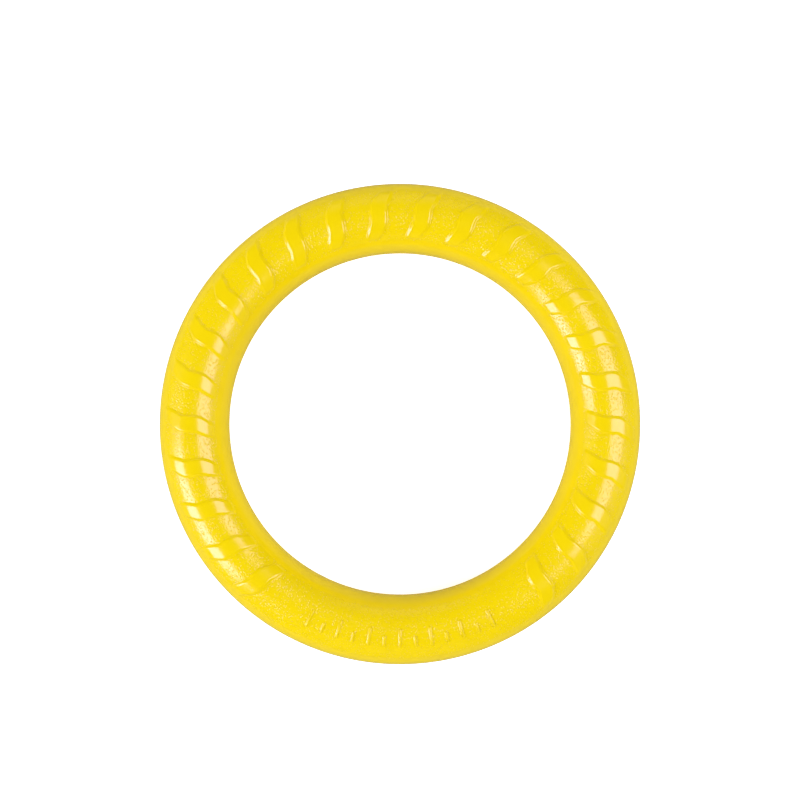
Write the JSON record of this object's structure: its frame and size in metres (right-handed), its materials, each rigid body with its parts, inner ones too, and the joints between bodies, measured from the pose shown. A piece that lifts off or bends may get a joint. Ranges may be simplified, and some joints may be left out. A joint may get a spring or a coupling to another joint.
{
  "type": "flying ring",
  "caption": "Soft foam flying ring, a round tube closed into a ring, with raised slanted grip bands and a row of plain marks.",
  "frame": {"origin": "centre of the ring, on its axis and on the parting line between the two halves of the skin", "axes": "+Z along the ring's axis, out of the upper face; -Y through the middle of the stretch without bands; +X to the right seen from above with -Y nearest"},
  "size_m": [0.18, 0.18, 0.0274],
  "materials": {
    "foam_core": "matte",
    "skin": "satin",
    "grip_bands": "satin",
    "markers": "satin"
  },
  "bodies": {
    "root": {"foam_core": "foam_core", "upper_skin": "skin", "lower_skin": "skin", "upper_band_01": "grip_bands", "upper_band_02": "grip_bands", "upper_band_03": "grip_bands", "upper_band_04": "grip_bands", "upper_band_05": "grip_bands", "upper_band_06": "grip_bands", "upper_band_07": "grip_bands", "upper_band_08": "grip_bands", "upper_band_09": "grip_bands", "upper_band_10": "grip_bands", "upper_band_11": "grip_bands", "upper_band_12": "grip_bands", "upper_band_13": "grip_bands", "upper_band_14": "grip_bands", "upper_band_15": "grip_bands", "upper_band_16": "grip_bands", "upper_band_17": "grip_bands", "upper_band_18": "grip_bands", "upper_band_19": "grip_bands", "upper_band_20": "grip_bands", "upper_band_21": "grip_bands", "upper_band_22": "grip_bands", "upper_band_23": "grip_bands", "upper_band_24": "grip_bands", "lower_band_01": "grip_bands", "lower_band_02": "grip_bands", "lower_band_03": "grip_bands", "lower_band_04": "grip_bands", "lower_band_05": "grip_bands", "lower_band_06": "grip_bands", "lower_band_07": "grip_bands", "lower_band_08": "grip_bands", "lower_band_09": "grip_bands", "lower_band_10": "grip_bands", "lower_band_11": "grip_bands", "lower_band_12": "grip_bands", "lower_band_13": "grip_bands", "lower_band_14": "grip_bands", "lower_band_15": "grip_bands", "lower_band_16": "grip_bands", "lower_band_17": "grip_bands", "lower_band_18": "grip_bands", "lower_band_19": "grip_bands", "lower_band_20": "grip_bands", "lower_band_21": "grip_bands", "lower_band_22": "grip_bands", "lower_band_23": "grip_bands", "lower_band_24": "grip_bands", "upper_marker_row": "markers", "lower_marker_row": "markers"}
  },
  "joints": []
}
